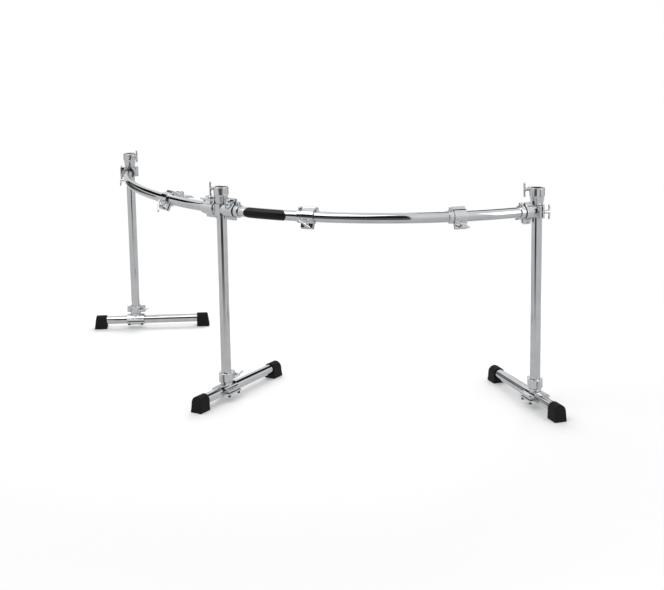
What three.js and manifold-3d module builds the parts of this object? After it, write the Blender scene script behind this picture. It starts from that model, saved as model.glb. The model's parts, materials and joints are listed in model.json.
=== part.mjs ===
// Curved drum rack: three T-legs, two curved bars, post clamps, bar clamps and memory locks.
// Millimetres, +Z up. The audience side faces -Y and the drummer sits on the +Y side.

import * as THREE from 'three';
import { mergeVertices } from 'three/addons/utils/BufferGeometryUtils.js';
import Module from 'manifold-3d';

const wasm = await Module();
wasm.setup();

// Tube stock
const tubeDiameter = 38.1;
const tubeWall = 2;
const boomDiameter = 25.4;

// Plan of the rack
const frontSpan = 1160; // centre post to right post
const frontRadius = 1065; // bend of the front bar
const sideSpan = 1152; // centre post to left post
const sideRadius = 1410; // bend of the side bar
const barHeight = 735; // bar axis above the floor
const barTail = 26; // post axis to the end of a bar
const barClampShares = { a: 0.309, b: 0.75, c: 0.282 }; // of the bend, from the centre post
const footTurns = { left: 1.1, centre: 7.4, right: -7.2 }; // degrees from square to the bar

// Fits
const boreGap = 0.3; // tube to the bore round it
const faceGap = 0.3; // between faces that meet
const holeGap = 0.35; // shank or pin to its hole
const swingGap = 1; // extra room for a shank that leaves its hole along an arc
const splitGap = 4; // between the two halves of a clamp
const overrun = 5; // how far a cutter passes what it cuts

// Hinged clamps
const clampWall = 7.6;
const earBolt = 37; // bore axis to the bolt axis
const earThick = 10; // split plane to the outer face of an ear
const earMargin = 8; // bolt axis to the tip of an ear
const earCorner = 2.5;
const hingeReach = 31; // bore axis to the hinge pin
const knuckleRadius = 5.5;
const pinRadius = 2.4;
const pinHead = 1.2;
const earBlend = 32; // degrees round the ring where the ear runs out
const hingeBlend = 17;

// T-bolts
const shankRadius = 3;
const flangeRadius = 8;
const flangeThick = 2.5;
const barrelRadius = 6.2;
const barrelNeck = 5.2;
const barrelStart = 5;
const handleHigh = 24; // flange seat to the top of the handle
const handleReach = 28; // bolt axis to the tip of the handle
const handleDepth = 8;
const handleWaist = 6.4; // height of the handle beside the barrel
const handleWaistEnd = 15;
const handleTip = 23; // where the tip is deepest
const handleTipHeight = 8;

// Post clamps
const postRingHeight = 44;
const socketStart = 28.5; // post axis to the bar jaw
const socketLength = 30;
const barTilt = 10; // degrees that the ears below an end clamp's bar ring lean to their T-bolt
const postEarTurn = 11; // degrees that the ears of an end clamp's post ring turn to the bar
const centreReach = 74; // centre clamp, post axis to either end
const centreBolt = 52; // centre clamp, post axis to each bolt
const centreHingeStart = 27;
const centreWaist = 23.5; // outer radius between the post ring and the bar rings
const handleTurns = { left: 90, right: 0, centreLeft: 0, centreRight: 90, a: 30, b: 28, c: 65 }; // degrees down

// Boom collar on top of each post
const collarHeight = 62;
const collarSkirt = 30; // height of the lower part, which widens upwards
const collarFoot = 22.3; // outer radius at the bottom
const collarBand = 28; // outer radius of the upper part
const collarStep = 1.5; // how far the band stands out from the skirt
const collarRise = 3; // height of that step
const collarEdge = 2;
const collarMouth = 22; // radius of the recess round the boom bore
const collarMouthDepth = 4;
const collarLug = 38; // axis to the bolt of the split lugs
const collarLugHeight = 17;
const collarLugThick = 8.5;
const collarRib = 32.5; // reach of the rib opposite the lugs
const collarRibWidth = 12;
const collarTurns = { left: 290, centre: 120, right: 120 }; // degrees, lugs seen from above

// T-leg
const footHeight = 38; // foot tube axis above the floor
const shortReach = 191; // post axis to the outer tip of the short side
const longReach = 340;
const saddleLength = 78;
const saddleBoltSpan = 58;
const saddleMargin = 6.5; // bolt axis to the edge of the saddle's flange
const saddleBlend = 29; // degrees round the saddle where the flange runs out
const saddleFillet = 1.4; // how far that run-out reaches past the ring
const saddleWall = 6.5;
const sleeveNeck = 22; // radius between the saddle and the sleeve
const sleeveRib = 39; // reach of the rib opposite the ears
const sleeveRibWidth = 12;
const sleeveHandle = -14; // degrees down, so its far end is a little higher
const sleeveTop = 67; // foot tube axis to the top of the post sleeve
const postSeat = 30; // foot tube axis to the bottom of the post
const sleeveWall = 8.6;
const sleeveEarLow = 36;
const headRadius = 5.6;
const headHeight = 8;

// Rubber feet
const padLength = 57;
const padTopLength = 48;
const padWidth = 48;
const padWall = 4.2;
const padSocket = 40; // depth of the blind bore
const padLip = 7; // upright edge round the sole
const padShoulder = 28; // where the arch meets the flare

// Bar clamps and memory locks
const barClampLength = 46;
const barClampTilt = 25; // degrees that the ears below the bar lean to the audience
const boomOffset = 49; // bar axis to the boom socket axis
const boomWall = 6;
const boomHeight = 48;
const boomBoss = 9;
const boomBossLength = 9;
const neckWidth = 26;
const lockWidth = 16;
const lockWall = 5.4;
const lockLug = 31;
const lockLugThick = 7;
const lockLugWidth = 12;
const keyRadius = 3;
const keyHead = 5;
const keyHeadRadius = 4;

// Counts of facets
const tubeFacets = 12;
const insideFacets = 8; // round the inside of a tube
const smallFacets = 8;
const tinyFacets = 6;
const keyFacets = 4;
const arcSegments = 4;
const barSteps = 20;
const boreSteps = 2;
const weldDistance = 1e-4;

// Worked out from the sizes above
const tubeRadius = tubeDiameter / 2;
const flatShare = Math.cos(Math.PI / tubeFacets);
const boreRadius = (tubeRadius + boreGap) / flatShare;
const boomBore = (boomDiameter / 2 + boreGap) / flatShare;
const clampRadius = tubeRadius + boreGap + clampWall;
const lockRadius = tubeRadius + boreGap + lockWall;
const saddleRunOut = clampRadius + saddleFillet;
const saddleBolt = saddleRunOut + headRadius + faceGap;
const saddleFlange = saddleBolt + saddleMargin;
const shankLength = 2 * earThick - swingGap;
const frontSweep = 2 * Math.asin(frontSpan / 2 / frontRadius);
const sideSweep = 2 * Math.asin(sideSpan / 2 / sideRadius);

const materials = {
  chrome: new THREE.MeshStandardMaterial({ color: 0xd4d6d8, roughness: 0.08, metalness: 1 }),
  castChrome: new THREE.MeshStandardMaterial({ color: 0xc8cbce, roughness: 0.16, metalness: 1 }),
  rubber: new THREE.MeshStandardMaterial({ color: 0x1a1a1b, roughness: 0.72, metalness: 0 }),
};

// Solids

function solidOf(geometry) {
  const bare = geometry.clone();
  bare.deleteAttribute('normal');
  bare.deleteAttribute('uv');
  const merged = mergeVertices(bare, weldDistance);
  return new wasm.Manifold(new wasm.Mesh({
    numProp: 3,
    vertProperties: new Float32Array(merged.attributes.position.array),
    triVerts: new Uint32Array(merged.index.array),
  }));
}

function geometryOf(solid) {
  const mesh = solid.getMesh();
  const geometry = new THREE.BufferGeometry();
  geometry.setAttribute('position', new THREE.BufferAttribute(new Float32Array(mesh.vertProperties), 3));
  geometry.setIndex(new THREE.BufferAttribute(new Uint32Array(mesh.triVerts), 1));
  geometry.computeVertexNormals();
  return geometry;
}

const degrees = THREE.MathUtils.degToRad;
const join = (...solids) => solids.reduce((all, next) => all.add(next));
const cut = (solid, ...cutters) => cutters.reduce((left, next) => left.subtract(next), solid);

// A round bar along Z
function rod(radius, low, high, facets = tubeFacets) {
  const geometry = new THREE.CylinderGeometry(radius, radius, high - low, facets);
  geometry.rotateX(Math.PI / 2);
  geometry.translate(0, 0, (low + high) / 2);
  return solidOf(geometry);
}

function block(lowX, highX, lowY, highY, lowZ, highZ) {
  const geometry = new THREE.BoxGeometry(highX - lowX, highY - lowY, highZ - lowZ);
  geometry.translate((lowX + highX) / 2, (lowY + highY) / 2, (lowZ + highZ) / 2);
  return solidOf(geometry);
}

// An outline in X and Y, extruded along Z
function prism(shape, low, high, curveSegments = arcSegments) {
  const geometry = new THREE.ExtrudeGeometry(shape, { depth: high - low, bevelEnabled: false, curveSegments });
  geometry.translate(0, 0, low);
  return solidOf(geometry);
}

// A profile of [radius, height] points turned about Z
function turned(profile, facets = smallFacets) {
  const geometry = new THREE.LatheGeometry(profile.map(([r, z]) => new THREE.Vector2(r, z)), facets);
  geometry.rotateX(Math.PI / 2);
  return solidOf(geometry);
}

function moved(solid, x, y, z) {
  return solid.translate([x, y, z]);
}

// Puts a solid's own X, Y and Z along u, v and u x v, with its origin at a point
function seated(solid, u, v, origin = [0, 0, 0]) {
  const axisU = new THREE.Vector3(...u);
  const axisV = new THREE.Vector3(...v);
  const matrix = new THREE.Matrix4().makeBasis(axisU, axisV, axisU.clone().cross(axisV));
  matrix.setPosition(...origin);
  return solid.transform(matrix.elements);
}

// Radius of a faceted hole that leaves a gap all round a rod
function holeFor(radius, gap, facets = smallFacets) {
  return (radius + gap) / Math.cos(Math.PI / facets);
}

function circlePoints(radius, facets) {
  const step = 2 * Math.PI / facets;
  return Array.from({ length: facets }, (_, i) => {
    return new THREE.Vector2(radius * Math.cos(i * step), radius * Math.sin(i * step));
  });
}

function tube(low, high) {
  const shape = new THREE.Shape(circlePoints(tubeRadius, tubeFacets));
  shape.holes.push(new THREE.Path(circlePoints(tubeRadius - tubeWall, insideFacets)));
  return prism(shape, low, high);
}

// The bars are arcs that leave the centre post along X. Hand is 1 to the right and -1 to the left.
class BarArc extends THREE.Curve {
  constructor(radius, hand, from, to) {
    super();
    Object.assign(this, { radius, hand, from, to });
  }

  getPoint(t, target = new THREE.Vector3()) {
    const angle = (this.from + (this.to - this.from) * t) / this.radius;
    const x = this.hand * this.radius * Math.sin(angle);
    return target.set(x, this.radius * (1 - Math.cos(angle)), 0);
  }
}

function sweep(shape, radius, hand, from, to, steps) {
  const extrudePath = new BarArc(radius, hand, from, to);
  return solidOf(new THREE.ExtrudeGeometry(shape, { steps, bevelEnabled: false, extrudePath }));
}

// The room that a bar needs in a clamp, in the frame of the station that lies `at` along the bar
function barBore(radius, hand, at, from, to) {
  const shape = new THREE.Shape(circlePoints(boreRadius, tubeFacets));
  const bore = sweep(shape, radius, hand, from, to, boreSteps);
  const matrix = stationMatrix(radius, hand, at).invert();
  return bore.transform(matrix.elements);
}

function stationMatrix(radius, hand, at) {
  const angle = at / radius;
  const matrix = new THREE.Matrix4().makeRotationZ(hand * angle);
  return matrix.setPosition(hand * radius * Math.sin(angle), radius * (1 - Math.cos(angle)), 0);
}

// Hinged clamp halves: the bore runs along Z, the ear points along X, and the half lies above the X axis

function halfOutline() {
  const half = splitGap / 2;
  const tip = earBolt + earMargin;
  const start = degrees(earBlend);
  const shape = new THREE.Shape();
  shape.moveTo(-hingeReach, half);
  shape.lineTo(tip, half);
  shape.lineTo(tip, earThick - earCorner);
  shape.lineTo(tip - earCorner, earThick);
  shape.lineTo(earBolt - flangeRadius - faceGap, earThick);
  shape.quadraticCurveTo(clampRadius, earThick, clampRadius * Math.cos(start), clampRadius * Math.sin(start));
  shape.absarc(0, 0, clampRadius, start, Math.PI - degrees(hingeBlend), false);
  shape.lineTo(-hingeReach, knuckleRadius);
  return shape;
}

// hinges: [low, high] of each hinge; bolts: places along Z
function clampHalf({ low, high, hinges, bolts, jaw, boltOnJaw }) {
  let half = prism(halfOutline(), low, high);
  for (const [from, to] of hinges) {
    const third = (to - from) / 3;
    const knuckles = [[from, from + third], [from + third, to - third], [to - third, to]];
    knuckles.forEach(([bottom, top], i) => {
      const mine = jaw ? i !== 1 : i === 1;
      const gap = mine ? faceGap / 2 : -faceGap / 2;
      const radius = mine ? knuckleRadius : holeFor(knuckleRadius, faceGap);
      const trim = (i === 0 || i === 2) && !mine ? faceGap : 0;
      const start = i === 0 ? bottom - trim : bottom + gap;
      const stop = i === 2 ? top + trim : top - gap;
      const knuckle = moved(rod(radius, start, stop, smallFacets), -hingeReach, 0, 0);
      half = mine ? half.add(knuckle) : half.subtract(knuckle);
    });
    const room = jaw ? 0 : faceGap;
    const radius = jaw ? pinRadius : holeFor(pinRadius, holeGap, tinyFacets);
    const pin = moved(rod(radius, from - pinHead - room, to + pinHead + room, tinyFacets), -hingeReach, 0, 0);
    half = jaw ? half.add(pin) : half.subtract(pin);
  }
  const holeRadius = holeFor(shankRadius, jaw === boltOnJaw ? holeGap : swingGap);
  for (const place of bolts) {
    const hole = rod(holeRadius, -earThick - overrun, earThick + overrun, smallFacets);
    half = half.subtract(seated(hole, [1, 0, 0], [0, 0, 1], [earBolt, 0, place]));
  }
  return half;
}

// T-bolt: the shank runs down -Z from the seat of the flange at the origin
function tBolt() {
  const stem = turned([
    [0, -shankLength],
    [shankRadius, -shankLength],
    [shankRadius, 0],
    [flangeRadius, 0],
    [flangeRadius, flangeThick],
    [barrelRadius, barrelStart],
    [barrelNeck, handleHigh],
    [0, handleHigh],
  ]);
  const outline = [
    [handleWaistEnd, handleHigh - handleWaist],
    [handleTip, handleHigh - handleTipHeight],
    [handleReach, handleHigh - handleTipHeight / 2],
    [handleTip, handleHigh],
  ];
  const mirrored = outline.map(([x, y]) => [-x, y]).reverse();
  const shape = new THREE.Shape([...outline, ...mirrored].map(([x, y]) => new THREE.Vector2(x, y)));
  const bar = prism(shape, -handleDepth / 2, handleDepth / 2);
  return stem.add(seated(bar, [1, 0, 0], [0, 0, 1]));
}

// Boom collar, standing on Z = 0, with its split lugs towards +X
function boomCollar() {
  const body = turned([
    [0, 0],
    [collarFoot - collarEdge, 0],
    [collarFoot, collarEdge],
    [collarBand - collarStep, collarSkirt],
    [collarBand, collarSkirt + collarRise],
    [collarBand, collarHeight - collarEdge],
    [collarBand - collarEdge, collarHeight],
    [0, collarHeight],
  ], tubeFacets);
  const lugLow = collarHeight - collarEdge - collarLugHeight;
  const lugTop = collarHeight - collarEdge;
  const slotLow = collarSkirt + faceGap;
  const lug = roundedBar(collarLug, collarLugThick * 2, earMargin, lugLow, lugTop);
  const rib = block(-collarRib, 0, -collarRibWidth / 2, collarRibWidth / 2, collarSkirt, lugTop);
  const boltHeight = (lugLow + lugTop) / 2;
  const hole = rod(holeFor(shankRadius, holeGap), -clampRadius, clampRadius, smallFacets);
  return cut(
    join(body, lug, rib),
    rod(boreRadius, -overrun, collarSkirt),
    rod(boomBore, 0, collarHeight + overrun),
    rod(collarMouth, collarHeight - collarMouthDepth, collarHeight + overrun),
    block(0, collarLug + earMargin + overrun, -splitGap / 4, splitGap / 4, slotLow, collarHeight + overrun),
    seated(hole, [1, 0, 0], [0, 0, 1], [collarLug, 0, boltHeight]),
  );
}

// A bar from the axis to past a bolt, with its outer corners chamfered, seen from above
function roundedBar(bolt, width, margin, low, high) {
  const tip = bolt + margin;
  const half = width / 2;
  const corner = half / 2;
  const shape = new THREE.Shape();
  shape.moveTo(0, -half);
  shape.lineTo(tip - corner, -half);
  shape.lineTo(tip, -half + corner);
  shape.lineTo(tip, half - corner);
  shape.lineTo(tip - corner, half);
  shape.lineTo(0, half);
  return prism(shape, low, high);
}

// Saddle outline across the foot tube: half a ring with a flange on each side
function saddleOutline(outer) {
  const half = splitGap / 2;
  const start = degrees(saddleBlend);
  const runOut = outer + saddleFillet;
  const shape = new THREE.Shape();
  shape.moveTo(saddleFlange, half);
  shape.lineTo(saddleFlange, earThick - earCorner);
  shape.lineTo(saddleFlange - earCorner, earThick);
  shape.lineTo(runOut, earThick);
  shape.quadraticCurveTo(outer, earThick, outer * Math.cos(start), outer * Math.sin(start));
  shape.absarc(0, 0, outer, start, Math.PI - start, false);
  shape.quadraticCurveTo(-outer, earThick, -runOut, earThick);
  shape.lineTo(-saddleFlange + earCorner, earThick);
  shape.lineTo(-saddleFlange, earThick - earCorner);
  shape.lineTo(-saddleFlange, half);
  return shape;
}

const saddleBolts = [-1, 1].flatMap((x) => [-1, 1].map((y) => [x * saddleBoltSpan / 2, y * saddleBolt]));

// Base clamp: foot tube along X through the origin, post sleeve up Z, split towards +X
function baseClamp() {
  const outer = tubeRadius + boreGap + sleeveWall;
  const saddle = seated(prism(saddleOutline(clampRadius), -saddleLength / 2, saddleLength / 2), [0, 1, 0], [0, 0, 1]);
  const sleeve = turned([
    [0, 0],
    [sleeveNeck, 0],
    [sleeveNeck, postSeat],
    [outer, sleeveEarLow],
    [outer, sleeveTop - earCorner],
    [outer - earCorner, sleeveTop],
    [0, sleeveTop],
  ], tubeFacets);
  const ears = roundedBar(earBolt, 2 * earThick, earMargin, sleeveEarLow, sleeveTop - earCorner);
  const rib = block(-sleeveRib, 0, -sleeveRibWidth / 2, sleeveRibWidth / 2, sleeveEarLow, sleeveTop - earCorner);
  const boltHeight = (sleeveEarLow + sleeveTop) / 2;
  const earHole = rod(holeFor(shankRadius, holeGap), -clampRadius, clampRadius, smallFacets);
  const tubeRoom = seated(rod(boreRadius, -saddleLength, saddleLength), [0, 1, 0], [0, 0, 1]);
  const hole = rod(holeFor(shankRadius, holeGap), 0, clampRadius, smallFacets);
  const holes = saddleBolts.map(([x, y]) => moved(hole, x, y, 0));
  return cut(
    join(saddle, sleeve, ears, rib),
    tubeRoom,
    rod(boreRadius, postSeat, sleeveTop + overrun),
    block(0, earBolt + earMargin + overrun, -splitGap / 2, splitGap / 2, sleeveEarLow - overrun, sleeveTop + overrun),
    block(-clampRadius, clampRadius, -clampRadius, clampRadius, -clampRadius, splitGap / 2),
    seated(earHole, [1, 0, 0], [0, 0, 1], [earBolt, 0, boltHeight]),
    ...holes,
  );
}

// Lower saddle with its four screws from below, in the frame of the base clamp
function baseCap() {
  const outer = tubeRadius + boreGap + saddleWall;
  const shell = seated(prism(saddleOutline(outer), -saddleLength / 2, saddleLength / 2), [0, 1, 0], [0, 0, -1]);
  const screws = saddleBolts.map(([x, y]) => moved(join(
    rod(shankRadius, -earThick, earThick, tinyFacets),
    rod(headRadius, -earThick - headHeight, -earThick + faceGap, tinyFacets),
  ), x, y, 0));
  const tubeRoom = seated(rod(boreRadius, -saddleLength, saddleLength), [0, 1, 0], [0, 0, 1]);
  return join(cut(shell, tubeRoom), ...screws);
}

// Rubber foot with its inner face at X = 0 and its sole on Z = 0, reaching along +X
function rubberFoot() {
  const arch = tubeRadius + padWall;
  const half = padWidth / 2;
  const top = footHeight + arch;
  const shape = new THREE.Shape();
  shape.moveTo(-half, 0);
  shape.lineTo(half, 0);
  shape.lineTo(half, padLip);
  shape.lineTo(arch, padShoulder);
  shape.absarc(0, footHeight, arch, 0, Math.PI, false);
  shape.lineTo(-arch, padShoulder);
  shape.lineTo(-half, padLip);
  const geometry = new THREE.ExtrudeGeometry(shape, {
    depth: padLength - 2 * collarEdge,
    bevelThickness: collarEdge,
    bevelSize: collarEdge,
    bevelOffset: -collarEdge,
    bevelSegments: 1,
    curveSegments: arcSegments,
  });
  geometry.translate(0, 0, collarEdge);
  const place = geometry.attributes.position;
  for (let i = 0; i < place.count; i++) {
    const height = place.getY(i);
    const length = padLength + (padTopLength - padLength) * height / top;
    place.setZ(i, place.getZ(i) * length / padLength);
  }
  const body = seated(solidOf(geometry), [0, 1, 0], [0, 0, 1]);
  const room = seated(rod(boreRadius, -overrun, padSocket), [0, 1, 0], [0, 0, 1], [0, 0, footHeight]);
  return cut(body, room);
}

const opposite = (direction) => direction.map((v) => -v);
const postRoom = rod(boreRadius, -clampRadius - overrun, clampRadius + overrun);

// An end clamp has its post along Z, and its bar leaves towards `away` along X. The bar T-bolts
// of the two ends point opposite ways, and their post rings open on the same side.
function endClampSides(away) {
  const tilt = degrees(barTilt);
  const turn = away * degrees(postEarTurn);
  return {
    barEar: [0, -away * Math.sin(tilt), -Math.cos(tilt)],
    barBolt: [0, -away * Math.cos(tilt), Math.sin(tilt)],
    postEar: [Math.sin(turn), -Math.cos(turn), 0],
    postBody: [away * Math.cos(turn), away * Math.sin(turn), 0],
  };
}

function endClampParts({ radius, hand, at }, away) {
  const { barEar, barBolt, postEar, postBody } = endClampSides(away);
  const end = socketStart + socketLength;
  const middle = (socketStart + end) / 2;
  const half = postRingHeight / 2;
  const space = end + overrun;
  const bore = barBore(radius, hand, at, at - space, at - barTail + faceGap);
  // the body half's own Z runs back to the post, the jaw's away from it
  const bodySpec = { low: -end, high: clampWall - socketStart, hinges: [[-end, -socketStart]], bolts: [-middle] };
  const jawSpec = { low: socketStart, high: end, hinges: [[socketStart, end]], bolts: [middle] };
  const ring = { low: -half, high: half, hinges: [[-half, half]], bolts: [0], boltOnJaw: true };
  const neck = seated(rod(clampRadius, splitGap / 2, socketStart - faceGap), [0, away, 0], [0, 0, 1]);
  const jawSpace = seated(block(-space, space, -space, splitGap / 2, -space, space), postEar, postBody);
  const body = cut(
    join(
      seated(clampHalf({ ...bodySpec, jaw: false, boltOnJaw: false }), barEar, barBolt),
      cut(neck, jawSpace),
      seated(clampHalf({ ...ring, jaw: false }), postEar, postBody),
    ),
    bore,
    postRoom,
    rod(clampRadius, half, half + clampRadius),
    rod(clampRadius, -half - clampRadius, -half),
  );
  const barJaw = cut(seated(clampHalf({ ...jawSpec, jaw: true, boltOnJaw: false }), barEar, opposite(barBolt)), bore);
  const postJaw = cut(seated(clampHalf({ ...ring, jaw: true }), postEar, opposite(postBody)), postRoom);
  return { body, barJaw, postJaw };
}

// Clamp on the centre post: one back and one front hold both bars and the post
function centreClampParts() {
  const hinges = [[-centreReach, -centreHingeStart], [centreHingeStart, centreReach]];
  const spec = { low: -centreReach, high: centreReach, hinges, bolts: [-centreBolt, centreBolt], boltOnJaw: true };
  const half = postRingHeight / 2;
  const side = splitGap / 2;
  const beside = earBolt + earMargin;
  const cutters = [
    barBore(frontRadius, 1, 0, barTail - faceGap, centreReach + overrun),
    barBore(sideRadius, -1, 0, barTail - faceGap, centreReach + overrun),
    postRoom,
  ];
  // the hinge stops and the ears are cut back beside the post
  const trims = [
    block(-centreHingeStart, centreHingeStart, -beside, beside, -beside, -half),
    block(-centreHingeStart, centreHingeStart, -beside, beside, half, beside),
  ];
  const waist = seated(cut(
    rod(clampRadius + overrun, -centreHingeStart, centreHingeStart),
    rod(centreWaist, -centreReach, centreReach),
  ), [0, 1, 0], [0, 0, 1]);
  const ring = rod(clampRadius, -half, half);
  const backRing = ring.intersect(block(-beside, beside, side, beside, -beside, beside));
  const frontRing = ring.intersect(block(-beside, beside, -beside, -side, -beside, beside));
  const backHalf = cut(seated(clampHalf({ ...spec, jaw: false }), [0, 0, 1], [0, 1, 0]), waist, ...trims);
  const frontHalf = cut(seated(clampHalf({ ...spec, jaw: true }), [0, 0, 1], [0, -1, 0]), waist, ...trims);
  return { back: cut(join(backHalf, backRing), ...cutters), front: cut(join(frontHalf, frontRing), ...cutters) };
}

// Bar clamp with a boom socket on the drummer's side; the ears hang below the bar and lean to the audience
const clampTilt = degrees(barClampTilt);
const clampEar = [0, -Math.sin(clampTilt), -Math.cos(clampTilt)];
const clampBolt = [0, -Math.cos(clampTilt), Math.sin(clampTilt)];

function barClampParts(radius, hand, at) {
  const half = barClampLength / 2;
  const spec = { low: -half, high: half, hinges: [[-half, half]], bolts: [0], boltOnJaw: true };
  const bore = barBore(radius, hand, at, at - half - overrun, at + half + overrun);
  const socketRadius = boomDiameter / 2 + boreGap + boomWall;
  const socketTop = boomHeight / 2;
  const socket = moved(turned([
    [0, -socketTop],
    [socketRadius - earCorner, -socketTop],
    [socketRadius, -socketTop + earCorner],
    [socketRadius, socketTop - earCorner],
    [socketRadius - earCorner, socketTop],
    [0, socketTop],
  ], tubeFacets), 0, boomOffset, 0);
  const bossEnd = boomOffset + socketRadius + boomBossLength;
  const boss = seated(rod(boomBoss, boomOffset, bossEnd, smallFacets), [0, 0, 1], [1, 0, 0]);
  const neck = block(-neckWidth / 2, neckWidth / 2, clampRadius / 2, boomOffset, -neckWidth / 2, neckWidth / 2);
  const boltHole = rod(holeFor(shankRadius, holeGap), boomOffset, bossEnd + overrun, smallFacets);
  const body = cut(
    join(seated(clampHalf({ ...spec, jaw: false }), clampEar, opposite(clampBolt)), socket, boss, neck),
    bore,
    moved(rod(boomBore, -socketTop - overrun, socketTop + overrun), 0, boomOffset, 0),
    seated(boltHole, [0, 0, 1], [1, 0, 0]),
  );
  const jaw = cut(seated(clampHalf({ ...spec, jaw: true }), clampEar, clampBolt), bore);
  return { body, jaw, bossEnd };
}

// Memory lock: a narrow split ring, its key screw across the lugs on top
function memoryLock(radius, hand, at) {
  const half = lockWidth / 2;
  const bore = barBore(radius, hand, at, at - half - overrun, at + half + overrun);
  const ring = seated(rod(lockRadius, -half, half), [0, 1, 0], [0, 0, 1]);
  const lugs = block(-lockLugWidth / 2, lockLugWidth / 2, -lockLugThick, lockLugThick, 0, lockLug + keyRadius);
  const slot = block(-half - overrun, half + overrun, -splitGap / 4, splitGap / 4, 0, lockLug + overrun);
  const key = seated(join(
    rod(keyRadius, -lockLugThick - keyRadius, lockLugThick, tinyFacets),
    rod(keyHeadRadius, lockLugThick - faceGap, lockLugThick + keyHead, keyFacets),
  ), [1, 0, 0], [0, 0, 1], [0, 0, lockLug - keyRadius]);
  return join(cut(join(ring, lugs), bore, slot), key);
}

// Assembly

function piece(parent, name, solid, material = materials.castChrome) {
  const mesh = new THREE.Mesh(geometryOf(solid), material.clone());
  mesh.name = name;
  parent.add(mesh);
  return mesh;
}

function groupAt(parent, x = 0, y = 0, z = 0, turn = 0) {
  const group = new THREE.Group();
  group.position.set(x, y, z);
  group.rotation.z = turn;
  parent.add(group);
  return group;
}

function stationGroup(parent, radius, hand, at, height) {
  const group = new THREE.Group();
  const matrix = stationMatrix(radius, hand, at);
  group.position.setFromMatrixPosition(matrix);
  group.position.z = height;
  group.rotation.z = hand * at / radius;
  parent.add(group);
  return group;
}

// A T-bolt whose flange seat is at a point, with its handle towards `out` and its bar along `bar`
function boltAt(parent, name, origin, out, bar) {
  const mesh = piece(parent, name, tBoltSolid);
  const axisZ = new THREE.Vector3(...out);
  const axisX = new THREE.Vector3(...bar);
  const matrix = new THREE.Matrix4().makeBasis(axisX, axisZ.clone().cross(axisX), axisZ);
  mesh.quaternion.setFromRotationMatrix(matrix);
  mesh.position.set(...origin);
  return mesh;
}

// Where a bolt's flange sits, past the ear's outer face on the bolt's side and `along` the bar
function onEar(ear, side, along = 0) {
  const out = earThick + seat;
  return ear.map((v, i) => v * earBolt + side[i] * out + (i ? 0 : along));
}

// The direction of a T handle that lies along X and is then turned down by some degrees
function handleAlong(out, turn) {
  const angle = degrees(turn);
  return [Math.cos(angle), -Math.sin(angle) * out[2], Math.sin(angle) * out[1]];
}

const rack = new THREE.Group();
rack.rotation.z = -frontSweep / 2;
const tBoltSolid = tBolt();
const padSolid = rubberFoot();
const baseClampSolid = baseClamp();
const baseCapSolid = baseCap();
const collarSolid = boomCollar();
const collarBase = barHeight + postRingHeight / 2 + faceGap;
const seat = faceGap;

const stations = {
  left: { radius: sideRadius, hand: -1, at: sideSweep * sideRadius },
  centre: { radius: frontRadius, hand: 1, at: 0 },
  right: { radius: frontRadius, hand: 1, at: frontSweep * frontRadius },
};

function buildLeg(side) {
  const { radius, hand, at } = stations[side];
  const leg = stationGroup(rack, radius, hand, at, 0);
  const postLow = footHeight + postSeat + seat;
  const postHigh = collarBase + collarSkirt - seat;
  piece(leg, `post_${side}`, tube(postLow, postHigh), materials.chrome);

  const foot = groupAt(leg, 0, 0, 0, Math.PI / 2 + degrees(footTurns[side]));
  const tubeShort = -(shortReach - padLength + padSocket - seat);
  const tubeLong = longReach - padLength + padSocket - seat;
  const footTube = moved(seated(tube(tubeShort, tubeLong), [0, 1, 0], [0, 0, 1]), 0, 0, footHeight);
  piece(foot, `foot_bar_${side}`, footTube, materials.chrome);
  const longPad = piece(foot, `rubber_foot_inner_${side}`, padSolid, materials.rubber);
  longPad.position.x = longReach - padLength;
  const shortPad = piece(foot, `rubber_foot_outer_${side}`, padSolid, materials.rubber);
  shortPad.position.x = padLength - shortReach;
  shortPad.rotation.z = Math.PI;
  piece(foot, `base_clamp_${side}`, baseClampSolid).position.z = footHeight;
  piece(foot, `base_cap_${side}`, baseCapSolid).position.z = footHeight;
  const boltHeight = footHeight + (sleeveEarLow + sleeveTop) / 2;
  boltAt(foot, `base_t_bolt_${side}`, [earBolt, -earThick - seat, boltHeight], [0, -1, 0], handleAlong([0, -1, 0], sleeveHandle));

  const top = groupAt(leg, 0, 0, collarBase, -leg.rotation.z + frontSweep / 2 + degrees(collarTurns[side]));
  piece(top, `boom_collar_${side}`, collarSolid);
  const lugMiddle = collarHeight - collarEdge - collarLugHeight / 2;
  boltAt(top, `collar_t_bolt_${side}`, [collarLug, collarLugThick + seat, lugMiddle], [0, 1, 0], [0, 0, 1]);
}

function buildBar(name, radius, hand, sweepAngle) {
  const shape = new THREE.Shape(circlePoints(tubeRadius, tubeFacets));
  shape.holes.push(new THREE.Path(circlePoints(tubeRadius - tubeWall, insideFacets)));
  const bar = sweep(shape, radius, hand, barTail, sweepAngle * radius - barTail, barSteps);
  piece(rack, name, bar, materials.chrome).position.z = barHeight;
}

function buildEndClamp(side, away) {
  const { radius, hand, at } = stations[side];
  const clamp = stationGroup(rack, radius, hand, at, barHeight);
  const { body, barJaw, postJaw } = endClampParts(stations[side], away);
  piece(clamp, `rack_clamp_${side}`, body);
  piece(clamp, `bar_jaw_${side}`, barJaw);
  piece(clamp, `post_jaw_${side}`, postJaw);
  const { barEar, barBolt, postEar, postBody } = endClampSides(away);
  const barSeat = onEar(barEar, barBolt, away * (socketStart + socketLength / 2));
  boltAt(clamp, `bar_t_bolt_${side}`, barSeat, barBolt, handleAlong(barBolt, handleTurns[side]));
  const postOut = opposite(postBody);
  boltAt(clamp, `post_t_bolt_${side}`, onEar(postEar, postOut), postOut, [0, 0, 1]);
}

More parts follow.
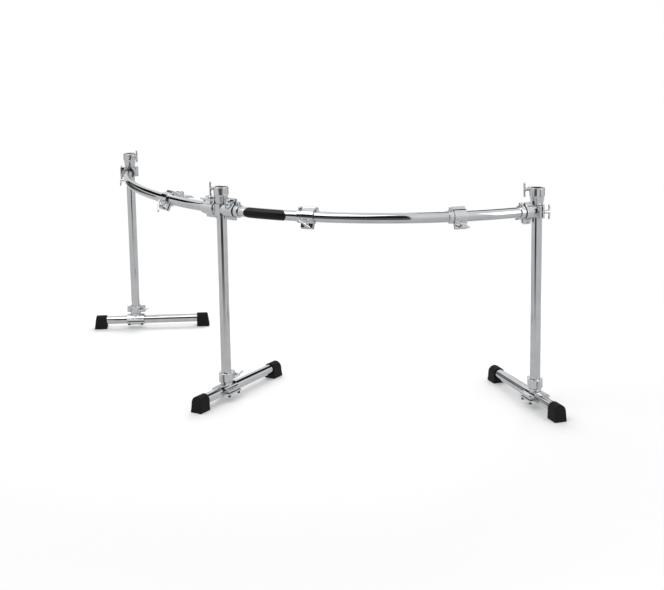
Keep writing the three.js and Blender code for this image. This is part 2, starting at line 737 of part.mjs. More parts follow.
function buildCentreClamp() {
  const clamp = stationGroup(rack, frontRadius, 1, 0, barHeight);
  const { back, front } = centreClampParts();
  piece(clamp, 'rack_clamp_centre', back);
  piece(clamp, 'front_jaw_centre', front);
  const [ear, out] = [[0, 0, 1], [0, -1, 0]];
  boltAt(clamp, 'centre_t_bolt_left', onEar(ear, out, -centreBolt), out, handleAlong(out, handleTurns.centreLeft));
  boltAt(clamp, 'centre_t_bolt_right', onEar(ear, out, centreBolt), out, handleAlong(out, handleTurns.centreRight));
}

function buildBarClamp(letter, radius, hand, at) {
  const clamp = stationGroup(rack, radius, hand, at, barHeight);
  const { body, jaw, bossEnd } = barClampParts(radius, hand, at);
  piece(clamp, `bar_clamp_${letter}`, body);
  piece(clamp, `bar_clamp_jaw_${letter}`, jaw);
  const handle = handleAlong(clampBolt, handleTurns[letter]);
  boltAt(clamp, `bar_clamp_t_bolt_${letter}`, onEar(clampEar, clampBolt), clampBolt, handle);
  boltAt(clamp, `boom_t_bolt_${letter}`, [0, bossEnd + seat, 0], [0, 1, 0], [1, 0, 0]);
}

// Distance along a bar from a clamp's middle to a lock that meets the clamp's end
function lockStep(clampEnd, radius) {
  return radius * Math.asin((clampEnd + faceGap + lockWidth / 2) / (radius - lockRadius));
}

function buildLock(name, { radius, hand }, at) {
  const lock = stationGroup(rack, radius, hand, at, barHeight);
  piece(lock, `memory_lock_${name}`, memoryLock(radius, hand, at));
}

for (const side of Object.keys(stations)) {
  buildLeg(side);
}
buildBar('front_bar', frontRadius, 1, frontSweep);
buildBar('side_bar', sideRadius, -1, sideSweep);
buildEndClamp('left', 1);
buildEndClamp('right', -1);
buildCentreClamp();
const { left, centre, right } = stations;
for (const letter of ['a', 'b']) {
  const at = barClampShares[letter] * right.at;
  buildBarClamp(letter, frontRadius, 1, at);
  buildLock(letter, centre, at - lockStep(barClampLength / 2, frontRadius));
}
buildBarClamp('c', sideRadius, -1, barClampShares.c * left.at);
buildLock('centre_left', left, lockStep(centreReach, sideRadius));
buildLock('centre_right', centre, lockStep(centreReach, frontRadius));
buildLock('right', centre, right.at - lockStep(socketStart + socketLength, frontRadius));

// The origin lies on the floor, under the middle of the rack's bounding box
const whole = new THREE.Group();
whole.add(rack);
whole.updateMatrixWorld(true);
const box = new THREE.Box3().setFromObject(whole, true);
rack.position.set(-(box.min.x + box.max.x) / 2, -(box.min.y + box.max.y) / 2, -box.min.z);

export default whole;
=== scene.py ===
# Curved drum rack: chromed tube, plated clamps, T-bolts and rubber feet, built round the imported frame.
# Piece sizes are in millimetres and each piece is turned to metres as it is placed.
import json
from math import asin, copysign, cos, pi, radians, sin, sqrt
import bpy
from mathutils import Matrix, Vector


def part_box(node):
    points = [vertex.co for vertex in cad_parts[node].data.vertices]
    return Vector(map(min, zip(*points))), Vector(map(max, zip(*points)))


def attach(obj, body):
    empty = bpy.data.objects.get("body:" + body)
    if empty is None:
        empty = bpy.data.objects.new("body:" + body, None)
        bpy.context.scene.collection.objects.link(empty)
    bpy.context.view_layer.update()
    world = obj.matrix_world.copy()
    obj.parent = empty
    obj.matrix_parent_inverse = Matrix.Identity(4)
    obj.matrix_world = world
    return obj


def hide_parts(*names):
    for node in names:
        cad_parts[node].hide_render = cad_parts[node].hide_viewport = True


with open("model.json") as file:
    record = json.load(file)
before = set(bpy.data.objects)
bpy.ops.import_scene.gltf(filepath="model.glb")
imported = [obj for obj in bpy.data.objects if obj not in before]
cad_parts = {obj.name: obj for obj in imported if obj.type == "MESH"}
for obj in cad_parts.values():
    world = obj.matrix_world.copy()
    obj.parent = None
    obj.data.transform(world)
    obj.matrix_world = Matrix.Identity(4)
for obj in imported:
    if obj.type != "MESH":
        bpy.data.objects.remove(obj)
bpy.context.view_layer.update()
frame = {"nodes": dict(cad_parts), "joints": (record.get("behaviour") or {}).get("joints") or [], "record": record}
joints = {joint["name"]: joint for joint in frame["joints"]}
bodies = frame["record"]["behaviour"]["bodies"]
bodyOf = {node: body for body, members in bodies.items() for node in members}
mm = 0.001


def jointPoint(name):
    return Vector(joints[name]["pos_m"]) / mm


def camelName(node):
    first, *others = node.split("_")
    return first + "".join(word.capitalize() for word in others)


# Layout, read from the frame: post axes, bends of the two bars and the places along them
sides = ("left", "centre", "right")
postAxis = {side: jointPoint(f"{side}_foot_turn") for side in sides}
barHeight = jointPoint("clamp_a_along_bar").z
bars = {
    "front": {"centre": jointPoint("clamp_a_along_bar"), "hand": 1, "far": "right"},
    "side": {"centre": jointPoint("clamp_c_along_bar"), "hand": -1, "far": "left"},
}
for bar in bars.values():
    bar["radius"] = (bar["centre"].xy - postAxis["centre"].xy).length
    span = (postAxis[bar["far"]].xy - postAxis["centre"].xy).length
    bar["length"] = 2 * asin(span / 2 / bar["radius"]) * bar["radius"]
# the front bar leaves the centre post at this angle, so that its chord runs along X
rackTurn = -bars["front"]["length"] / bars["front"]["radius"] / 2


def station(bar, distance):
    # Frame on a bar's axis: X along the bar to the right, Y to the drummer
    turn = rackTurn + bar["hand"] * distance / bar["radius"]
    rotation = Matrix.Rotation(turn, 4, "Z")
    point = bar["centre"] + rotation @ Vector((0, -bar["radius"], 0))
    return Matrix.Translation((point.x, point.y, barHeight)) @ rotation


def distanceAlong(bar, point):
    start = postAxis["centre"].xy - bar["centre"].xy
    return bar["radius"] * abs(start.angle_signed(point.xy - bar["centre"].xy))


# Mesh making

detail = {
    "round": 64, "smallRound": 32, "hole": 24, "corner": 5, "bend": 6, "flare": 8,
    "sweep": 96, "roomSteps": 8, "roomStep": 6, "bevelSteps": 2, "softAngle": 60,
}
# How far a cutter runs past what it cuts, and lengths that reach beyond any casting or ear
overrun, beyond, pastEar = 5, 60, 30


def newObject(name, data):
    made = bpy.data.objects.new(name, data)
    bpy.context.scene.collection.objects.link(made)
    return made


def meshFrom(vertices, faces):
    mesh = bpy.data.meshes.new("part")
    mesh.from_pydata(vertices, [], faces)
    return mesh


def turnOutward(mesh):
    # Faces point out whichever way round their points were given
    volume = sum(face.normal.dot(face.center) * face.area for face in mesh.polygons)
    if volume < 0:
        mesh.flip_normals()
    return mesh


def prism(outline, low, high):
    count = len(outline)
    vertices = [(x, y, z) for z in (low, high) for x, y in outline]
    faces = [tuple(reversed(range(count))), tuple(range(count, 2 * count))]
    for i in range(count):
        j = (i + 1) % count
        faces.append((i, j, count + j, count + i))
    return turnOutward(meshFrom(vertices, faces))


def block(lowX, highX, lowY, highY, lowZ, highZ):
    return prism([(lowX, lowY), (highX, lowY), (highX, highY), (lowX, highY)], lowZ, highZ)


def turned(profile, count=None):
    # A profile of (radius, height) turned about Z; it starts and ends on the axis or closes on itself
    count = count or detail["round"]
    closed = profile[0][0] > 0
    rows, vertices = [], []
    for radius, height in profile:
        if radius == 0:
            rows.append([len(vertices)] * count)
            vertices.append((0, 0, height))
            continue
        rows.append(list(range(len(vertices), len(vertices) + count)))
        for i in range(count):
            angle = 2 * pi * i / count
            vertices.append((radius * cos(angle), radius * sin(angle), height))
    faces = []
    pairs = zip(rows, rows[1:] + rows[:1]) if closed else zip(rows, rows[1:])
    for lower, upper in pairs:
        for i in range(count):
            j = (i + 1) % count
            face = [lower[i], lower[j], upper[j], upper[i]]
            faces.append(tuple(dict.fromkeys(face)))
    return turnOutward(meshFrom(vertices, faces))


def rod(radius, low, high, count=None):
    return turned([(0, low), (radius, low), (radius, high), (0, high)], count)


def lofted(rings):
    # Skins rings of points that have equal counts, with a face on each end
    count = len(rings[0])
    vertices = [point for ring in rings for point in ring]
    faces = [tuple(reversed(range(count))), tuple(range(len(vertices) - count, len(vertices)))]
    for row in range(len(rings) - 1):
        for i in range(count):
            j = (i + 1) % count
            base = row * count
            faces.append((base + i, base + j, base + count + j, base + count + i))
    return turnOutward(meshFrom(vertices, faces))


axisX, axisY, axisZ = (1, 0, 0), (0, 1, 0), (0, 0, 1)


def frameOf(x, y, z, origin=(0, 0, 0)):
    # The matrix whose axes point along three directions
    matrix = Matrix((x, y, z)).transposed().to_4x4()
    matrix.translation = origin
    return matrix


def seat(mesh, along, up, origin=(0, 0, 0)):
    # Puts a mesh's X along one direction and its Y along another
    mesh.transform(frameOf(along, up, Vector(along).cross(up), origin))
    return mesh


def shifted(mesh, x, y, z):
    mesh.transform(Matrix.Translation((x, y, z)))
    return mesh


def applied(holder, *helpers):
    # The mesh that an object's modifiers make; the object and its helpers go
    graph = bpy.context.evaluated_depsgraph_get()
    result = bpy.data.meshes.new_from_object(holder.evaluated_get(graph))
    for used in [holder, *helpers]:
        bpy.data.objects.remove(used)
    return result


def combined(operation, base, others):
    holder = newObject("holder", base)
    helpers = [newObject("helper", other) for other in others]
    for helper in helpers:
        modifier = holder.modifiers.new("join or cut", "BOOLEAN")
        modifier.operation = operation
        modifier.solver = "MANIFOLD"
        modifier.object = helper
    return applied(holder, *helpers)


def joined(base, *others):
    return combined("UNION", base, others)


def cutBy(base, *cutters):
    return combined("DIFFERENCE", base, cutters)


def common(base, other):
    return combined("INTERSECT", base, [other])


def softened(mesh, width):
    # Cast and forged pieces have no sharp edges: the round catches a thin highlight
    holder = newObject("holder", mesh)
    modifier = holder.modifiers.new("edges", "BEVEL")
    modifier.limit_method = "ANGLE"
    modifier.angle_limit = radians(detail["softAngle"])
    modifier.width = width
    modifier.segments = detail["bevelSteps"]
    modifier.use_clamp_overlap = True
    return applied(holder)


def arcPoints(radius, start, end, x=0, y=0, count=None):
    # Points on a round about (x, y), from one angle to another
    count = count or detail["corner"]
    angles = [radians(start + (end - start) * i / count) for i in range(count + 1)]
    return [(x + radius * cos(a), y + radius * sin(a)) for a in angles]


def curvePoints(start, pull, end, count=None):
    # A quadratic curve from start to end, drawn towards a pull point
    count = count or detail["bend"]
    points = []
    for i in range(1, count + 1):
        t = i / count
        weights = ((1 - t) ** 2, 2 * t * (1 - t), t ** 2)
        points.append(tuple(sum(w * p[k] for w, p in zip(weights, (start, pull, end))) for k in (0, 1)))
    return points


# Materials


def hexColor(code):
    # sRGB hex to the linear colour that the shader takes
    channels = [int(code[i:i + 2], 16) / 255 for i in (1, 3, 5)]
    linear = [c / 12.92 if c <= 0.04045 else ((c + 0.055) / 1.055) ** 2.4 for c in channels]
    return (*linear, 1)


def addNode(tree, kind, settings=None, links=None, stops=()):
    node = tree.nodes.new("ShaderNode" + kind)
    for name, value in (settings or {}).items():
        if name in node.inputs:
            node.inputs[name].default_value = value
        else:
            setattr(node, name, value)
    for name, source in (links or {}).items():
        tree.links.new(source, node.inputs[name])
    for i, (position, color) in enumerate(stops):
        # a ramp has two elements to start with
        elements = node.color_ramp.elements
        element = elements[i] if i < 2 else elements.new(position)
        element.position, element.color = position, color
    return node


def newMaterial(name, settings):
    material = bpy.data.materials.new(name)
    material.use_nodes = True
    tree = material.node_tree
    shader = tree.nodes["Principled BSDF"]
    for socket, value in settings.items():
        shader.inputs[socket].default_value = value
    coordinates = addNode(tree, "TexCoord").outputs["Object"]
    return material, tree, shader, coordinates


def brightnessBy(tree, source, levels):
    # Grey that follows a value; levels are pairs of value and brightness, the lowest value first
    low, high = levels[0][0], levels[-1][0]
    share = addNode(tree, "MapRange", {"From Min": low, "From Max": high}, {"Value": source})
    stops = [((value - low) / (high - low), (level, level, level, 1)) for value, level in levels]
    ramp = addNode(tree, "ValToRGB", links={"Fac": share.outputs["Result"]}, stops=stops)
    return ramp.outputs["Color"]


# noise has few values beyond these, so they bear the darkest and the lightest colour
noiseRange, noiseDetail = (0.3, 0.7), 3


def mottledFinish(name, values):
    # Colour, gloss and height all follow noise at the real size of the finish's unevenness
    shine = {socket: values[socket] for socket in ("Metallic", "Specular IOR Level") if socket in values}
    material, tree, shader, coordinates = newMaterial(name, shine)
    size = {"Scale": 1 / (values["grainMm"] * mm), "Detail": noiseDetail}
    noise = addNode(tree, "TexNoise", size, {"Vector": coordinates}).outputs["Fac"]
    stops = zip(noiseRange, (hexColor(values["dark"]), hexColor(values["light"])))
    colors = addNode(tree, "ValToRGB", links={"Fac": noise}, stops=stops)
    tree.links.new(colors.outputs["Color"], shader.inputs["Base Color"])
    low, high = values["roughness"]
    gloss = addNode(tree, "MapRange", {"To Min": low, "To Max": high}, {"Value": noise})
    tree.links.new(gloss.outputs["Result"], shader.inputs["Roughness"])
    relief = {"Strength": values["bump"], "Distance": values["bumpMm"] * mm}
    height = addNode(tree, "Bump", relief, {"Height": noise})
    tree.links.new(height.outputs["Normal"], shader.inputs["Normal"])
    return material


# Chrome plate over polished drawn tube: a clean mirror with a faint long wave from the drawing
chromedTube = mottledFinish("polished chrome on drawn steel tube", {
    "Metallic": 1, "light": "#CDCFD1", "dark": "#C2C4C7", "roughness": (0.035, 0.075),
    "grainMm": 60, "bump": 0.012, "bumpMm": 1,
})
# Chrome plate over a die casting: bright, with an orange peel that breaks up its reflections
platedCasting = mottledFinish("bright chrome on die casting", {
    "Metallic": 1, "light": "#D6D8DA", "dark": "#C6C9CC", "roughness": (0.06, 0.15),
    "grainMm": 3.5, "bump": 0.1, "bumpMm": 0.12,
})
# Moulded black rubber: satin with a fine grain from the mould
rubberFinish = mottledFinish("moulded black rubber", {
    "Specular IOR Level": 0.15, "light": "#1A1A1B", "dark": "#111112", "roughness": (0.55, 0.75),
    "grainMm": 1.2, "bump": 0.25, "bumpMm": 0.25,
})
# Black oxide on steel: a thin dark skin that leaves a weak shine on the hexagon heads
oxideFinish = mottledFinish("black oxide on steel", {
    "light": "#1B1B1D", "dark": "#0F0F10", "roughness": (0.3, 0.45),
    "grainMm": 1, "bump": 0.05, "bumpMm": 0.1,
})
# Stoved black enamel on a stamped plate: an even black with a slight flow
enamelFinish = mottledFinish("stoved black enamel", {
    "Specular IOR Level": 0.2, "light": "#0B0B0C", "dark": "#060607", "roughness": (0.18, 0.3),
    "grainMm": 12, "bump": 0.02, "bumpMm": 0.3,
})
# Nickel plate on the key screws: a duller shine than the chrome
screwFinish = mottledFinish("nickel plated steel screw", {
    "Metallic": 1, "light": "#C9CCCF", "dark": "#AEB2B6", "roughness": (0.18, 0.32),
    "grainMm": 0.8, "bump": 0.05, "bumpMm": 0.1,
})
# Black nylon: a soft low shine that sets the ring off from the bright collar. The ring is partly a real insert and
# partly painted shade: its black stands for the collar's dark, shaded bore
boreShadeBushingFinish = mottledFinish("black nylon", {
    "light": "#18181A", "dark": "#0E0E10", "roughness": (0.3, 0.45),
    "grainMm": 2, "bump": 0.08, "bumpMm": 0.15,
})
print("materials made:", len(bpy.data.materials))


def place(name, mesh, matrix, node=None, finish=platedCasting, body=None, smooth=35):
    # Makes the finished object of a piece, in metres, on the body that carries its CAD node
    mesh = mesh.copy()
    mesh.transform(Matrix.Scale(mm, 4) @ matrix)
    mesh.materials.clear()
    mesh.materials.append(finish)
    mesh.shade_smooth()
    mesh.set_sharp_from_angle(angle=radians(smooth))
    piece = newObject(name, mesh)
    # the wide faces set the normals, so a bevel doesn't bend the reflections beside it
    weighted = piece.modifiers.new("weighted normals", "WEIGHTED_NORMAL")
    weighted.keep_sharp = True
    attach(piece, body or bodyOf[node])
    if node:
        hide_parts(node)


# Tubes

# tail is how far a bar's end lies from the axis of the post
tubeStock = {"radius": 19.05, "wall": 2, "edge": 0.4, "boreGap": 0.3, "tail": 26}
tubeInside = tubeStock["radius"] - tubeStock["wall"]
boreRadius = tubeStock["radius"] + tubeStock["boreGap"]


def straightTube(low, high):
    inner, outer, edge = tubeInside, tubeStock["radius"], tubeStock["edge"]
    return turned([
        (inner, low), (outer - edge, low), (outer, low + edge),
        (outer, high - edge), (outer - edge, high), (inner, high),
    ])


def bentTube(bar, start, end, radius, inner=0, steps=None):
    # Sweeps a ring, or a solid round, along a bar's bend; made in the rack's own place
    steps = steps or detail["sweep"]
    count = detail["round"]
    radii = [radius, inner] if inner else [radius]
    walls = []
    for ringRadius in radii:
        rings = []
        for step in range(steps + 1):
            matrix = station(bar, start + (end - start) * step / steps)
            angles = [2 * pi * i / count for i in range(count)]
            ring = [Vector((0, ringRadius * cos(a), ringRadius * sin(a))) for a in angles]
            rings.append([tuple(matrix @ point) for point in ring])
        walls.append(rings)
    if not inner:
        return lofted(walls[0])
    vertices = [point for rings in walls for ring in rings for point in ring]
    size = (steps + 1) * count
    faces = []
    for row in range(steps):
        for i in range(count):
            j = (i + 1) % count
            a, b, c, d = row * count + i, row * count + j, (row + 1) * count + j, (row + 1) * count + i
            faces += [(a, b, c, d), (size + d, size + c, size + b, size + a)]
    for i in range(count):
        j = (i + 1) % count
        last = steps * count
        faces += [(j, i, size + i, size + j), (last + i, last + j, size + last + j, size + last + i)]
    return turnOutward(meshFrom(vertices, faces))


for name, bar in bars.items():
    start, end = tubeStock["tail"], bar["length"] - tubeStock["tail"]
    barMesh = bentTube(bar, start, end, tubeStock["radius"], tubeInside)
    place(f"{name}Bar", barMesh, Matrix(), f"{name}_bar", chromedTube, smooth=50)

for side in sides:
    low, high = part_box(f"post_{side}")
    axis = postAxis[side]
    mesh = straightTube(low.z / mm, high.z / mm)
    place(f"{side}Post", mesh, Matrix.Translation((axis.x, axis.y, 0)), f"post_{side}", chromedTube)
print("tubes made")


# T-bolt: shank down -Z from the seat of its flange, wing handle on top

tBolt = {
    "shank": 3, "shankLength": 19, "threadDepth": 0.35, "threadStep": 1.25, "threadStart": 1, "plain": 2,
    "point": (0.6, 0.8), "relief": 0.4, "hole": 3.35, "swingHole": 4,
    "flange": 8, "flangeThick": 2.5, "flangeEdge": 0.5, "barrel": 6.2, "barrelNeck": 5.2, "barrelStart": 5,
    "crown": 2.4, "crownGap": 0.6,
    "top": 24, "reach": 28, "depth": 8, "hub": 11, "waist": 6.4, "waistAt": 13, "tip": 8, "tipAt": 22.5,
    "endDepthShare": 0.8, "roundShare": 0.8, "leastClosing": 0.002, "rings": 40, "ringPoints": 20,
}


def easeBetween(start, end, share):
    share = min(max(share, 0), 1)
    return start + (end - start) * share * share * (3 - 2 * share)


def tBoltMesh():
    v = tBolt
    shank, bottom, flange, thick = v["shank"], -v["shankLength"], v["flange"], v["flangeThick"]
    inset, drop = v["point"]
    profile = [(0, bottom), (shank - inset, bottom), (shank, bottom + drop)]
    for i in range(int((v["shankLength"] - v["plain"]) / v["threadStep"])):
        height = bottom + v["threadStart"] + i * v["threadStep"]
        profile += [(shank, height), (shank - v["threadDepth"], height + v["threadStep"] / 2)]
    profile += [(shank, -v["relief"]), (shank, 0), (flange - v["relief"], 0), (flange, v["relief"])]
    profile += [(flange, thick - v["flangeEdge"]), (flange - v["flangeEdge"], thick)]
    # the flange runs up into the barrel with a hollow curve
    profile += curvePoints(profile[-1], (v["barrel"], thick), (v["barrel"], v["barrelStart"]))
    profile += [(v["barrelNeck"], v["top"] - v["crown"])]
    crown = v["top"] - v["crownGap"]
    profile += curvePoints(profile[-1], (v["barrelNeck"], crown), (0, crown))
    stem = turned(profile, detail["smallRound"])
    rings, count = [], v["ringPoints"]
    for step in range(v["rings"] + 1):
        angle = pi * step / v["rings"]
        x = -v["reach"] * cos(angle)
        reach = abs(x)
        if reach < v["waistAt"]:
            height = easeBetween(v["hub"], v["waist"], reach / v["waistAt"])
        else:
            height = easeBetween(v["waist"], v["tip"], (reach - v["waistAt"]) / (v["tipAt"] - v["waistAt"]))
        middle = v["top"] - height / 2
        past = (reach - v["tipAt"]) / (v["reach"] - v["tipAt"])
        closing = sqrt(max(1 - past * past, v["leastClosing"])) if past > 0 else 1
        depth = v["depth"] * easeBetween(1, v["endDepthShare"], reach / v["waistAt"])
        ring = []
        for i in range(count):
            turn = 2 * pi * i / count
            y = copysign(abs(cos(turn)) ** v["roundShare"], cos(turn)) * depth / 2 * closing
            z = copysign(abs(sin(turn)) ** v["roundShare"], sin(turn)) * height / 2 * closing
            ring.append((x, y, middle + z))
        rings.append(ring)
    return joined(stem, lofted(rings))


# millimetres by which the points of a handle's tip differ in reach
tipTolerance = 0.1


def handleDirection(node, origin, out):
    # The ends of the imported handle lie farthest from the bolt's axis
    arms = [vertex.co / mm - origin for vertex in frame["nodes"][node].data.vertices]
    arms = [arm - out * arm.dot(out) for arm in arms]
    reach = max(arm.length for arm in arms)
    tips = [arm for arm in arms if arm.length > reach - tipTolerance]
    return sum((arm for arm in tips if arm.dot(tips[0]) > 0), Vector()).normalized()


boltMesh = tBoltMesh()
for name, joint in joints.items():
    if not name.endswith("_spin"):
        continue
    out = Vector(joint["axis"]).normalized()
    node = bodies[joint["child"]][0]
    across = handleDirection(node, jointPoint(name), out)
    matrix = frameOf(across, out.cross(across), out, jointPoint(name))
    place(camelName(node), boltMesh, matrix, node)
print("T-bolts made")


# Legs: each foot's own frame has X along its tube to the drummer and Z up, on the floor

leg = {
    "tubeHeight": 38, "shortReach": 191, "longReach": 340,
    "saddleLength": 78, "saddleBoltSpan": 58, "saddleWall": 6.5, "saddleFillet": 1.4, "saddleMargin": 6.5,
    "clampWall": 7.6, "flange": 10, "flat": 1.5, "split": 4, "blend": 29, "ringSteps": 14, "corner": 2.5,
    "sleeveTop": 67, "postSeat": 30, "sleeveWall": 8.6, "rib": 39, "ribWidth": 12,
    "neck": 22, "neckEnd": 2, "flarePull": 3, "flareEnd": 1,
    "earLow": 36, "earBolt": 37, "earMargin": 8, "earThick": 10,
    "head": 5.6, "headHeight": 8, "headCrown": 0.9, "screw": 3, "gap": 0.3, "edge": 0.9,
}
# an ear's corners as a share of half its width; the corners and edges of a rib
noseShare = 0.6
ribCorner, ribEdge = 3, 1
saddleOuter = boreRadius + leg["clampWall"]
saddleBolt = saddleOuter + leg["saddleFillet"] + leg["head"] + leg["gap"]
capOuter = boreRadius + leg["saddleWall"]


def postFrame(side, joint, outSign, height=0):
    # Frame on a post's axis: Y along or against the way that a T-bolt points, Z up
    y = Vector(joints[joint]["axis"]).normalized() * outSign
    return frameOf(y.cross(axisZ), y, axisZ, (postAxis[side].x, postAxis[side].y, height))


def saddleHalf(outer):
    # Half a ring with a flange on each side, across the foot tube, pulled along it
    v = leg
    low, high, corner = v["split"] / 2, v["flange"], v["corner"]
    tip, runOut = saddleBolt + v["saddleMargin"], outer + v["saddleFillet"]
    blend = radians(v["blend"])
    start = (outer * cos(blend), outer * sin(blend))
    right = [(tip, low)]
    right += arcPoints(corner, 0, 90, tip - corner, high - corner)
    right += [(runOut + v["flat"], high)]
    right += curvePoints(right[-1], (outer, high), start)
    ring = arcPoints(outer, v["blend"], 90, count=v["ringSteps"])[1:]
    outline = right + ring
    outline += [(-x, y) for x, y in reversed(outline[:-1])]
    half = v["saddleLength"] / 2
    return softened(prism(outline, -half, half), v["edge"])


def eyeBar(bolt, width, margin, low, high, edge):
    # A bar from the axis to past a bolt, with a round nose, seen from above
    tip, half = bolt + margin, width / 2
    corner = half * noseShare
    nose = arcPoints(corner, 0, 90, tip - corner, half - corner, detail["flare"])
    outline = [(0, -half)] + [(x, -y) for x, y in reversed(nose)] + nose + [(0, half)]
    return softened(prism(outline, low, high), edge)


def ribBar(reach, width, low, high):
    # The rib that stiffens a split sleeve, opposite its ears
    half, corner = width / 2, ribCorner
    outline = [(0, -half), (0, half)]
    outline += arcPoints(corner, 90, 180, corner - reach, half - corner, detail["bend"])
    outline += arcPoints(corner, 180, 270, corner - reach, corner - half, detail["bend"])
    return softened(prism(outline, low, high), ribEdge)


def alongX(radius, low, high, height=0):
    return seat(rod(radius, low, high), axisY, axisZ, (0, 0, height))


def holeAcross(radius, x, z):
    # The T-bolt's hole through an ear, along Y
    return seat(rod(radius, -pastEar, pastEar, detail["hole"]), axisX, axisZ, (x, 0, z))


def atScrews(maker):
    # Makes one solid at each of the saddle's four screws
    spots = [(x * leg["saddleBoltSpan"] / 2, y * saddleBolt) for x in (-1, 1) for y in (-1, 1)]
    return [shifted(maker(), x, y, 0) for x, y in spots]


def baseClampMesh():
    v = leg
    outer, low, top, corner = boreRadius + v["sleeveWall"], v["earLow"], v["sleeveTop"], v["corner"]
    saddle = seat(saddleHalf(saddleOuter), axisY, axisZ)
    profile = [(0, 0), (v["neck"], 0), (v["neck"], v["postSeat"] - v["neckEnd"])]
    flareEnd = (outer - v["flareEnd"], low - v["flareEnd"])
    profile += curvePoints(profile[-1], (v["neck"], low - v["flarePull"]), flareEnd, detail["flare"])
    profile += [(outer, low)]
    profile += arcPoints(corner, 0, 90, outer - corner, top - corner)
    profile += [(0, top)]
    sleeve = turned(profile)
    ears = eyeBar(v["earBolt"], 2 * v["earThick"], v["earMargin"], low, top - corner, v["edge"])
    rib = ribBar(v["rib"], v["ribWidth"], low, top - corner)
    half, pastSaddle = v["split"] / 2, v["saddleLength"]
    return cutBy(
        joined(saddle, sleeve, ears, rib),
        alongX(boreRadius, -pastSaddle, pastSaddle),
        rod(boreRadius, v["postSeat"], top + overrun),
        block(0, beyond, -half, half, low - overrun, top + overrun),
        block(-beyond, beyond, -beyond, beyond, -beyond, half),
        holeAcross(tBolt["hole"], v["earBolt"], (low + top) / 2),
        *atScrews(lambda: rod(tBolt["hole"], -overrun, pastEar, detail["hole"])),
    )


def hexHead(radius, low, high):
    # Six flats with the corners turned down on top
    hexagon = rod(radius, low, high, 6)
    base, rim, crown = low - 1, radius + 1, leg["headCrown"]
    profile = [(0, base), (rim, base), (rim, high - 1), (radius - crown, high), (0, high)]
    return common(hexagon, turned(profile, detail["smallRound"]))


def baseScrew():
    v = leg
    shank = rod(v["screw"], -v["flange"], v["flange"], detail["hole"])
    head = hexHead(v["head"], v["flange"] - v["gap"], v["flange"] + v["headHeight"])
    return seat(joined(shank, head), axisX, (0, -1, 0))


def baseCapMeshes():
    saddle = seat(saddleHalf(capOuter), axisY, (0, 0, -1))
    shell = cutBy(saddle, alongX(boreRadius, -leg["saddleLength"], leg["saddleLength"]))
    return shell, joined(*atScrews(baseScrew))


rubber = {
    "length": 57, "topLength": 48, "width": 48, "wall": 4.2, "socket": 40,
    "lip": 7, "pull": (0.1, 6), "shoulder": 28, "archSteps": 16, "edge": 2, "mouth": 2.2,
}


def rubberFootMesh():
    v = rubber
    arch = tubeStock["radius"] + v["wall"]
    half, height = v["width"] / 2, leg["tubeHeight"]
    side = [(half, 0), (half, v["lip"])]
    pull = (arch + v["pull"][0], v["lip"] + v["pull"][1])
    side += curvePoints(side[-1], pull, (arch, v["shoulder"]), detail["flare"])
    outline = side + arcPoints(arch, 0, 90, 0, height, v["archSteps"])
    outline += [(-x, y) for x, y in reversed(outline[:-1])]
    body = softened(prism(outline, 0, v["length"]), v["edge"])
    top = height + arch
    for vertex in body.vertices:
        share = vertex.co.y / top
        vertex.co.z *= 1 + (v["topLength"] / v["length"] - 1) * share
    body = seat(body, axisY, axisZ)
    deep, wide = v["mouth"], boreRadius + v["mouth"]
    mouth = turned([(0, -overrun), (wide, -overrun), (wide, 0), (boreRadius, deep), (0, deep)])
    mouth = seat(mouth, axisY, axisZ, (0, 0, height))
    return cutBy(body, alongX(boreRadius, -overrun, v["socket"], height), mouth)


clampMesh = baseClampMesh()
capMesh, screwMesh = baseCapMeshes()
padMesh = rubberFootMesh()
for side in sides:
    foot = postFrame(side, f"{side}_base_bolt_spin", -1)
    raised = foot @ Matrix.Translation((0, 0, leg["tubeHeight"]))
    reach = rubber["socket"] - rubber["length"]
    ends = (-leg["shortReach"] - reach + leg["gap"], leg["longReach"] + reach - leg["gap"])
    tubeMesh = seat(straightTube(*ends), axisY, axisZ)
    place(f"{side}FootTube", tubeMesh, raised, f"foot_bar_{side}", chromedTube)
    place(f"{side}BaseClamp", clampMesh, raised, f"base_clamp_{side}")
    place(f"{side}BaseCap", capMesh, raised, f"base_cap_{side}")
    place(f"{side}BaseScrews", screwMesh, raised, f"base_cap_{side}", oxideFinish)
    inner = foot @ Matrix.Translation((leg["longReach"] - rubber["length"], 0, 0))
    outer = foot @ Matrix.Translation((rubber["length"] - leg["shortReach"], 0, 0))
    outer = outer @ Matrix.Rotation(pi, 4, "Z")
    place(f"{side}InnerRubber", padMesh, inner, f"rubber_foot_inner_{side}", rubberFinish)
    place(f"{side}OuterRubber", padMesh, outer, f"rubber_foot_outer_{side}", rubberFinish)
print("legs made")


# Boom collar: a turned cup over the post's top, split on one side

collar = {
    "height": 62, "skirt": 30, "foot": 22.3, "band": 28, "step": 1.5, "rise": 3, "run": 1.5, "taper": 0.3,
    "edge": 2, "lug": 38, "lugHeight": 17, "lugThick": 8.5, "margin": 8, "rib": 32.5, "ribWidth": 12,
    "slot": 2, "slotFloor": 0.3,
    "boom": 12.7, "boomGap": 0.3, "mouth": 22, "mouthDepth": 4, "lip": 0.8,
}


